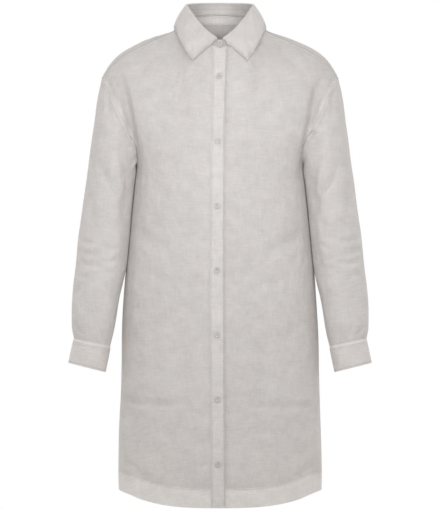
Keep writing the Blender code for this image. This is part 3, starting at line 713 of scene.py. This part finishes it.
# Sleeves: one panel each, felled along its underarm and set into a dropped armhole. The head
# wrinkles where it hangs from the shoulder, the elbow folds lightly, the inner side leans on
# the body and the wrist is eased into its cuff.
SLEEVE_TOP = Vector((0.190, 0.0, -0.170))
SLEEVE_END = Vector((0.240, -0.028, -0.600))
SLEEVE_CREASES = {
    "left": (
        Crease((0.211, -0.098), (0.209, -0.130), (0.206, -0.162), 0.0060, 0.0030),
        Crease((0.182, -0.190), (0.170, -0.320), (0.184, -0.450), 0.0150, 0.0060),
        Crease((0.170, -0.270), (0.186, -0.320), (0.205, -0.372), 0.0110, 0.0032),
        Crease((0.226, -0.236), (0.204, -0.290), (0.178, -0.346), 0.0110, 0.0044),
        Crease((0.250, -0.290), (0.236, -0.330), (0.228, -0.380), 0.0120, 0.0026),
        Crease((0.268, -0.378), (0.246, -0.394), (0.220, -0.390), 0.0055, 0.0040),
        Crease((0.262, -0.424), (0.240, -0.436), (0.214, -0.430), 0.0062, 0.0034),
        Crease((0.272, -0.446), (0.254, -0.456), (0.238, -0.454), 0.0050, 0.0026),
        Crease((0.190, -0.394), (0.200, -0.404), (0.214, -0.402), 0.0052, 0.0030),
        Crease((0.196, -0.420), (0.206, -0.428), (0.218, -0.424), 0.0048, 0.0024),
        Crease((0.270, -0.402), (0.250, -0.414), (0.228, -0.412), 0.0060, 0.0030),
        Crease((0.186, -0.432), (0.204, -0.446), (0.222, -0.444), 0.0090, 0.0020),
        Crease((0.268, -0.545), (0.262, -0.556), (0.250, -0.566), 0.0045, 0.0014),
        Crease((0.246, -0.538), (0.242, -0.556), (0.238, -0.572), 0.0042, 0.0012),
        Crease((0.222, -0.545), (0.220, -0.560), (0.218, -0.576), 0.0042, 0.0012),
        Crease((0.206, -0.552), (0.205, -0.566), (0.207, -0.580), 0.0040, 0.0010),
    ),
    "right": (
        Crease((-0.210, -0.096), (-0.210, -0.128), (-0.205, -0.158), 0.0060, 0.0032),
        Crease((-0.181, -0.185), (-0.170, -0.310), (-0.185, -0.440), 0.0150, 0.0064),
        Crease((-0.171, -0.276), (-0.184, -0.326), (-0.202, -0.380), 0.0115, 0.0030),
        Crease((-0.224, -0.240), (-0.202, -0.296), (-0.179, -0.352), 0.0110, 0.0042),
        Crease((-0.251, -0.286), (-0.238, -0.326), (-0.229, -0.374), 0.0120, 0.0028),
        Crease((-0.269, -0.382), (-0.246, -0.398), (-0.222, -0.394), 0.0055, 0.0042),
        Crease((-0.263, -0.428), (-0.242, -0.440), (-0.218, -0.434), 0.0062, 0.0032),
        Crease((-0.272, -0.450), (-0.256, -0.458), (-0.242, -0.458), 0.0050, 0.0028),
        Crease((-0.190, -0.398), (-0.201, -0.408), (-0.216, -0.404), 0.0052, 0.0032),
        Crease((-0.196, -0.424), (-0.207, -0.432), (-0.220, -0.430), 0.0048, 0.0022),
        Crease((-0.270, -0.406), (-0.252, -0.416), (-0.230, -0.416), 0.0060, 0.0028),
        Crease((-0.187, -0.440), (-0.206, -0.452), (-0.224, -0.448), 0.0090, 0.0018),
        Crease((-0.270, -0.540), (-0.263, -0.555), (-0.252, -0.565), 0.0045, 0.0015),
        Crease((-0.245, -0.540), (-0.243, -0.556), (-0.239, -0.572), 0.0042, 0.0011),
        Crease((-0.224, -0.548), (-0.221, -0.562), (-0.217, -0.576), 0.0042, 0.0013),
        Crease((-0.207, -0.550), (-0.204, -0.566), (-0.206, -0.580), 0.0040, 0.0010),
    ),
}
SLEEVE_BACK_CREASES = {
    "left": (
        Crease((0.176, -0.272), (0.194, -0.325), (0.214, -0.372), 0.0110, 0.0034),
        Crease((0.262, -0.392), (0.236, -0.412), (0.206, -0.420), 0.0100, 0.0030),
        Crease((0.258, -0.420), (0.240, -0.436), (0.214, -0.440), 0.0080, 0.0020),
        Crease((0.258, -0.530), (0.254, -0.550), (0.248, -0.570), 0.0050, 0.0016),
        Crease((0.226, -0.532), (0.225, -0.552), (0.224, -0.574), 0.0050, 0.0015),
    ),
    "right": (
        Crease((-0.178, -0.276), (-0.194, -0.330), (-0.210, -0.380), 0.0110, 0.0032),
        Crease((-0.263, -0.388), (-0.238, -0.408), (-0.208, -0.414), 0.0100, 0.0032),
        Crease((-0.256, -0.424), (-0.242, -0.434), (-0.218, -0.444), 0.0080, 0.0018),
        Crease((-0.260, -0.534), (-0.255, -0.552), (-0.249, -0.570), 0.0050, 0.0015),
        Crease((-0.228, -0.530), (-0.226, -0.552), (-0.223, -0.574), 0.0050, 0.0016),
    ),
}


def sleeve_middle(sign):
    """Gives the point of the sleeve's axis at the height of a place on it."""
    def middle(place):
        share = (place.z - SLEEVE_TOP.z) / (SLEEVE_END.z - SLEEVE_TOP.z)
        point = SLEEVE_TOP.lerp(SLEEVE_END, share)
        return Vector((point.x * sign, point.y, place.z))
    return middle


Lean = namedtuple("Lean", "height reach")
SLEEVE_LEAN = (
    Lean(-0.490, 0.0000),
    Lean(-0.465, 0.0020),
    Lean(-0.435, 0.0050),
    Lean(-0.395, 0.0080),
    Lean(-0.340, 0.0100),
    Lean(-0.300, 0.0095),
    Lean(-0.262, 0.0060),
    Lean(-0.235, 0.0000),
)
LEAN_CLEARANCE = 0.0012
LEAN_SEARCH = 0.03
LEAN_ROW = 0.010
LEAN_FACING = 0.55
ROLL_WIDTH = 0.048
ROLL_DEPTH = 1.5
ROLL_FACING = 2.5
HEAD_REACH = 0.020
HEAD_BLEND = 0.028
HEAD_LOW = -0.3


def lean_on_body(sleeve, sign):
    """Rests a sleeve's inner side against the body, as it hangs in the photograph."""
    points = positions(sleeve.data)
    wanted = np.interp(points[:, 2], [lean.height for lean in SLEEVE_LEAN],
                       [lean.reach for lean in SLEEVE_LEAN])
    inward = Vector((-sign, 0.0, 0.0))
    normals = [vertex.normal.copy() for vertex in sleeve.data.vertices]
    rows = np.round(points[:, 2] / LEAN_ROW).astype(int)
    rows -= rows.min()
    edges = np.full(rows.max() + 1, 9.0)
    np.minimum.at(edges, rows, points[:, 0] * sign)
    inside = np.interp(points[:, 2] - points[:, 2].min(), np.arange(len(edges)) * LEAN_ROW, edges)
    roll = np.clip(1 - (points[:, 0] * sign - inside) / ROLL_WIDTH, 0.0, 1.0) ** 2
    ahead = np.clip(-np.array(normals)[:, 1] * ROLL_FACING, 0.0, 1.0)
    points[:, 1] += ROLL_DEPTH * wanted * roll * ahead
    for index, (point, normal) in enumerate(zip(points, normals)):
        share = min(max(normal.dot(inward) / LEAN_FACING, 0.0), 1.0)
        shift = wanted[index] * share * share * (3 - 2 * share)
        if shift <= 0.0:
            continue
        for surface in body_surfaces:
            place, _, _, distance = surface.ray_cast(Vector(point), inward, LEAN_SEARCH)
            if place is not None:
                shift = min(shift, max(distance - LEAN_CLEARANCE, 0.0))
        points[index, 0] -= sign * shift
    sleeve.data.vertices.foreach_set("co", points.ravel())
    sleeve.data.update()


sleeve_outlines = {}
for side, sign in (("left", 1.0), ("right", -1.0)):
    sleeve = outer_sheet("sleeve_panel_" + side, "sleeve_" + side, sleeve_middle(sign))
    smoothed(sleeve, 3)
    press(sleeve, SLEEVE_CREASES[side], (0, -1, 0))
    press(sleeve, SLEEVE_BACK_CREASES[side], (0, 1, 0))
    rumple(sleeve, 0.0014, 0.040, 7.0)
    lean_on_body(sleeve, sign)
    join_edge(sleeve, body_outlines, HEAD_REACH, HEAD_BLEND)
    sleeve_outlines[side] = outline(sleeve)
    turns = [Turn("head", SEAM_TURN, 0.030, 0.06, lambda spot: spot.z > HEAD_LOW)]
    paths = turn_edges(sleeve, turns)
    unroll(sleeve, (Vector((0.1545 * sign, 0.0, -0.250)), Vector((0.202 * sign, -0.027, -0.584))))
    thickened(sleeve, CLOTH_WALL)
    # The sleeves' linen is painted a little lighter, as painted light.
    declare(sleeve, linen_finish("linen_sleeve_" + side, turns, 1.06), (0.42, 0.50), 0.145, "sleeve_" + side)
    sew("sleeve_stitches_" + side, paths)

# Cuffs: doubled and interlined bands, lapped and buttoned at the back of the wrist and
# topstitched along every edge, with a paler band along the seam to the sleeve.
CUFF_WALL = 0.0020
CUFF_TURN = 0.0055
CUFF_BAND = 0.0085
CUFF_MIDDLE = -0.600
CUFF_REACH = 0.0022
CUFF_BLEND = 0.006
for side, sign in (("left", 1.0), ("right", -1.0)):
    cuff = outer_sheet("cuff_band_" + side, "cuff_" + side, sleeve_middle(sign))
    smoothed(cuff, 3)
    join_edge(cuff, [sleeve_outlines[side]], CUFF_REACH, CUFF_BLEND)
    turns = [Turn("top", CUFF_BAND, 0.120, 0.05, lambda spot: spot.z > CUFF_MIDDLE),
             Turn("edge", CUFF_TURN, 0.015, 0.06, lambda spot: spot.z < CUFF_MIDDLE)]
    paths = turn_edges(cuff, turns)
    unroll(cuff)
    thickened(cuff, CUFF_WALL)
    # The cuffs' linen is painted lighter, partly for their doubled layers and partly as painted light.
    declare(cuff, linen_finish("linen_cuff_" + side, turns, 1.11), (0.26, 0.050), 0.0122, "cuff_" + side)
    sew("cuff_stitches_" + side, paths)

# Collar stand: an interlined band that holds the collar up. It is sewn to the neckline and
# laps over itself at the front, under the top button.
STAND_WALL = 0.0020
STAND_TURN = 0.0040
STAND_TOP_TURN = 0.0100
STAND_MIDDLE = 0.0315
STAND_BACK_RISE = 0.11
STAND_FRONT_DIP = 11.0
stand = outer_sheet("stand_band", "collar_stand")
smoothed(stand, 3)


def in_upper_half(spot):
    """Whether a place on the stand's outline is on its top edge, which dips to the front."""
    rise = STAND_BACK_RISE * spot.y if spot.y > 0 else -STAND_FRONT_DIP * spot.y ** 2
    return spot.z > STAND_MIDDLE + rise


stand_turns = [Turn("top", STAND_TOP_TURN, 0.0, 0.0, in_upper_half),
               # Painted shadow darkens the stand's lower edge.
               Turn("edge", STAND_TURN, 0.010, 0.16, lambda spot: not in_upper_half(spot))]
stand_paths = turn_edges(stand, stand_turns)
unroll(stand)
thickened(stand, STAND_WALL)
# The stand's linen is painted a little darker, as painted shade.
declare(stand, linen_finish("linen_stand", stand_turns, 0.97), (0.46, 0.030), 0.0097, "collar_stand")
sew("stand_stitches", stand_paths)

# Collar leaf: two layers turned out at the edge and topstitched, folded over the stand and
# lying on the shoulders and the chest.
LEAF_WALL = 0.0015
LEAF_TURN = 0.0060
LEAF_REST = 0.0005
LEAF_DROP_WIDTH = 0.022
LEAF_SEARCH = 0.009
NECK_CENTRE = -0.0075
NECK_RADIUS = 0.0665


def off_neck(place):
    """Whether a place on the leaf is out on the shoulders or the chest, and not up at the neck."""
    return math.hypot(place[0], place[1] - NECK_CENTRE) > NECK_RADIUS


def laid_down(leaf):
    """Lets the leaf's edge down on the shoulders and the chest where it is already near them."""
    points = positions(leaf.data)
    rim = tree_of([loop + loop[:1] for loop in outline(leaf)])
    for index, point in enumerate(points):
        from_rim = rim.find(Vector(point))[2]
        share = max(1 - from_rim / LEAF_DROP_WIDTH, 0.0) * float(off_neck(point))
        finds = [surface.find_nearest(Vector(point), LEAF_SEARCH) for surface in body_surfaces]
        finds = [find for find in finds if find[0] is not None]
        if share and finds:
            place, _, _, distance = min(finds, key=lambda find: find[3])
            drop = max(distance - LEAF_WALL - LEAF_REST, 0.0) * share * share * (3 - 2 * share)
            points[index] += np.array((place - Vector(point)).normalized()) * drop
    leaf.data.vertices.foreach_set("co", points.ravel())
    leaf.data.update()


leaf = outer_sheet("leaf_fold", "collar_leaf")
smoothed(leaf, 3)
laid_down(leaf)
# The leaf's edge is darkened by a strong painted shadow where it lies on the shirt.
leaf_turns = [Turn("edge", LEAF_TURN, 0.012, 0.34, off_neck)]
leaf_paths = turn_edges(leaf, leaf_turns)
unroll(leaf)
thickened(leaf, LEAF_WALL)
# The leaf's linen is painted a little lighter, as painted light.
declare(leaf, linen_finish("linen_leaf", leaf_turns, 1.05), (0.54, 0.085), 0.029, "collar_leaf")
sew("leaf_stitches", leaf_paths)

# Buttons: turned from pale shell with a raised rim and four holes, and sewn on with linen
# thread: one on the stand, seven down the placket and one on each cuff.
HOLE_RADIUS = 0.00075
HOLE_OFFSET = 0.0013
SHELL_DARK = (0.54, 0.515, 0.495)
SHELL_PALE = (0.66, 0.64, 0.62)
STRAND_SEAT = 0.0008
STRAND_ARCH = 0.0017
STRAND_RADIUS = 0.00028
ButtonTurn = namedtuple("ButtonTurn", "radius height")
BUTTON_PROFILE = (
    ButtonTurn(0.0000, 0.0000),
    ButtonTurn(0.0048, 0.0000),
    ButtonTurn(0.0055, 0.0004),
    ButtonTurn(0.0058, 0.0012),
    ButtonTurn(0.0057, 0.0021),
    ButtonTurn(0.0053, 0.0026),
    ButtonTurn(0.0047, 0.0026),
    ButtonTurn(0.0042, 0.0022),
    ButtonTurn(0.0036, 0.0019),
    ButtonTurn(0.0000, 0.0018),
)


def turned_button():
    """Button with its back on the XY plane, and its four holes."""
    shape = bmesh.new()
    corners = [shape.verts.new((turn.radius, 0.0, turn.height)) for turn in BUTTON_PROFILE]
    edges = [shape.edges.new(pair) for pair in zip(corners, corners[1:])]
    bmesh.ops.spin(shape, geom=corners + edges, axis=(0, 0, 1), cent=(0, 0, 0), angle=2 * math.pi,
                   steps=40, use_merge=True)
    bmesh.ops.remove_doubles(shape, verts=shape.verts[:], dist=0.00001)
    bmesh.ops.recalc_face_normals(shape, faces=shape.faces[:])
    mesh = bpy.data.meshes.new("button")
    shape.to_mesh(mesh)
    shape.free()
    button = bpy.data.objects.new("button", mesh)
    bpy.context.scene.collection.objects.link(button)
    holes = bmesh.new()
    for across in (-HOLE_OFFSET, HOLE_OFFSET):
        for up in (-HOLE_OFFSET, HOLE_OFFSET):
            spot = bmesh.ops.create_cone(holes, cap_ends=True, segments=14, radius1=HOLE_RADIUS,
                                         radius2=HOLE_RADIUS, depth=0.01)
            bmesh.ops.translate(holes, verts=spot["verts"], vec=(across, up, 0.0))
    hole_mesh = bpy.data.meshes.new("holes")
    holes.to_mesh(hole_mesh)
    holes.free()
    cutter = bpy.data.objects.new("holes", hole_mesh)
    bpy.context.scene.collection.objects.link(cutter)
    modifier = button.modifiers.new("Holes", "BOOLEAN")
    modifier.operation = "DIFFERENCE"
    modifier.object = cutter
    settled(button)
    bpy.data.objects.remove(cutter)
    button.data.shade_smooth()
    button.data.set_sharp_from_angle(angle=math.radians(38))
    return button


def shell_finish():
    """Pale shell: soft clouds of light and warm grey under a satin polish."""
    finish = Finish("button_shell")
    place = finish.node("ShaderNodeTexCoord", {}, {}, "Object")
    cloud = finish.node("ShaderNodeTexNoise", {}, {"Vector": place, "Scale": 260.0, "Detail": 2.0,
                                                   "Distortion": 1.5})
    colour = finish.node("ShaderNodeMix", {"data_type": "RGBA"},
                         {0: cloud.band(0.35, 0.70), 6: (*SHELL_DARK, 1.0), 7: (*SHELL_PALE, 1.0)}, 2)
    finish.feed(finish.shader.inputs["Base Color"], colour)
    finish.feed(finish.shader.inputs["Roughness"], 0.38 + cloud * 0.12)
    finish.shader.inputs["Coat Weight"].default_value = 0.15
    return finish.material


def button_frame(node):
    """Place of a packed button's back and its outward direction."""
    points = positions(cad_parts[node].data)
    middle = points.mean(0)
    axis = np.linalg.svd(points - middle, full_matrices=False)[2][2]
    wrist = np.array((SLEEVE_END.x * np.sign(middle[0]), SLEEVE_END.y, middle[2]))
    away = middle - wrist if "cuff" in node else (0, -1, 0)
    if np.dot(axis, away) < 0:
        axis = -axis
    along = (points - middle) @ axis
    return Vector(middle + axis * along.min()), Vector(axis)


template = turned_button()
shell = shell_finish()
button_nodes = ["button_stand", *(f"button_{number}" for number in range(1, 8)),
                "cuff_button_left", "cuff_button_right"]
thread_crosses = []
for node in button_nodes:
    seat, outward = button_frame(node)
    turn = outward.to_track_quat("Z", "Y")
    button = bpy.data.objects.new("turned_" + node, template.data.copy())
    bpy.context.scene.collection.objects.link(button)
    button.data.transform(turn.to_matrix().to_4x4())
    button.data.transform(Matrix.Translation(seat))
    button.data.materials.append(shell)
    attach(button, "root")
    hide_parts(node)
    for first, second in (((-1, -1), (1, 1)), ((-1, 1), (1, -1))):
        strand = []
        for share in np.linspace(0.0, 1.0, 9):
            across = HOLE_OFFSET * (first[0] + (second[0] - first[0]) * share)
            up = HOLE_OFFSET * (first[1] + (second[1] - first[1]) * share)
            height = STRAND_SEAT + STRAND_ARCH * math.sin(math.pi * share) ** 0.5
            strand.append(seat + turn @ Vector((across, up, height)))
        thread_crosses.append(strand)
bpy.data.objects.remove(template)

strands = bpy.data.curves.new("button_threads", "CURVE")
strands.dimensions = "3D"
strands.bevel_depth = STRAND_RADIUS
strands.bevel_resolution = 1
for strand in thread_crosses:
    spline = strands.splines.new("POLY")
    spline.points.add(len(strand) - 1)
    for point, place in zip(spline.points, strand):
        point.co = (*place, 1.0)
threads = bpy.data.objects.new("button_threads", strands)
bpy.context.scene.collection.objects.link(threads)
strands.materials.append(thread)
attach(threads, "root")

# Floor: a pale round stand well under the hem, below the photograph's frame. It shows only
# in views from other sides.
FLOOR_RADIUS = 0.56
FLOOR_LEVEL = -0.955
floor_shape = bmesh.new()
bmesh.ops.create_circle(floor_shape, cap_ends=True, segments=96, radius=FLOOR_RADIUS)
bmesh.ops.translate(floor_shape, verts=floor_shape.verts, vec=(0.0, 0.0, FLOOR_LEVEL))
floor_mesh = bpy.data.meshes.new("floor")
floor_shape.to_mesh(floor_mesh)
floor_shape.free()
floor = bpy.data.objects.new("floor", floor_mesh)
bpy.context.scene.collection.objects.link(floor)
plaster = Finish("pale_plaster")
spot = plaster.node("ShaderNodeTexCoord", {}, {}, "Object")
mist = plaster.node("ShaderNodeTexNoise", {}, {"Vector": spot, "Scale": 6.0, "Detail": 3.0})
tint = plaster.node("ShaderNodeMix", {"data_type": "RGBA"},
                    {0: mist, 6: (0.68, 0.68, 0.67, 1.0), 7: (0.72, 0.72, 0.71, 1.0)}, 2)
plaster.feed(plaster.shader.inputs["Base Color"], tint)
plaster.shader.inputs["Roughness"].default_value = 0.8
floor.data.materials.append(plaster.material)

# Light: a white tent, bright at the sides and behind and weaker in front and below. A panel
# lights the chest, and a small lamp inside the neck lights the back neck as in the photograph.
# The camera sees neither of them, and plain white behind the shirt.
TENT = 0.96
TENT_FRONT = -0.50
TENT_BACK = 0.02
TENT_ABOVE = -0.10
TENT_BELOW = -0.44


class Sky(Finish):
    """The world's own nodes, made and joined as a material's are."""

    def __init__(self):
        world = bpy.data.worlds.new("Studio")
        bpy.context.scene.world = world
        world.use_nodes = True
        self.tree = world.node_tree
        self.tree.nodes.clear()


sky = Sky()
where = sky.node("ShaderNodeTexCoord", {}, {}, "Generated")
apart = sky.node("ShaderNodeSeparateXYZ", {}, {0: where}, "Y")
ahead = Socket(sky, apart.link)
above = Socket(sky, apart.link.node.outputs["Z"])
to_front = ahead.band(-0.05, -1.0)
to_back = ahead.band(0.05, 1.0)
strength = (TENT + to_front * TENT_FRONT + to_back * TENT_BACK + above.band(0.0, 1.0) * TENT_ABOVE
            + above.band(0.0, -1.0) * TENT_BELOW)
tent = sky.node("ShaderNodeBackground", {}, {"Color": (1.0, 0.985, 0.965, 1.0), "Strength": strength})
plain = sky.node("ShaderNodeBackground", {}, {"Color": (1.0, 1.0, 1.0, 1.0), "Strength": 1.0})
seen = sky.node("ShaderNodeLightPath", {}, {}, "Is Camera Ray")
both = sky.node("ShaderNodeMixShader", {}, {0: seen, 1: tent, 2: plain})
sky.node("ShaderNodeOutputWorld", {}, {"Surface": both})


def hidden_lamp(name, place, turn, size, energy):
    """Rectangular lamp that the camera doesn't see."""
    light = bpy.data.lights.new(name, "AREA")
    light.shape = "RECTANGLE"
    light.size, light.size_y = size
    light.energy = energy
    lamp = bpy.data.objects.new(name, light)
    lamp.location = place
    lamp.rotation_euler = turn
    lamp.visible_camera = False
    bpy.context.scene.collection.objects.link(lamp)
    return light


panel = hidden_lamp("front_panel", (0.0, -0.95, -0.13), (math.radians(90), 0.0, 0.0), (0.7, 0.5), 4.9)
panel.color = (0.968, 0.986, 1.0)
neck_place = Vector((0.0, -0.034, -0.036))
back_neck = Vector((0.0, 0.08, 0.028))
neck_turn = (back_neck - neck_place).to_track_quat("-Z", "Y").to_euler()
bounce = hidden_lamp("neck_bounce", neck_place, neck_turn, (0.07, 0.03), 0.0074)
bounce.spread = math.radians(50)

# Camera: far off in front with a long lens, so that the shirt is seen almost without
# perspective, as the photograph shows it.
CAMERA_PLACE = (0.0009, -30.0, -0.41625)
CAMERA_LENS = 1144.8
lens = bpy.data.cameras.new("camera")
lens.sensor_width = 36.0
lens.lens = CAMERA_LENS
camera = bpy.data.objects.new("camera", lens)
camera.location = CAMERA_PLACE
camera.rotation_euler = (math.radians(90), 0.0, 0.0)
bpy.context.scene.collection.objects.link(camera)
bpy.context.scene.camera = camera
bpy.context.scene.view_settings.view_transform = "Standard"
bpy.context.scene.view_settings.look = "None"
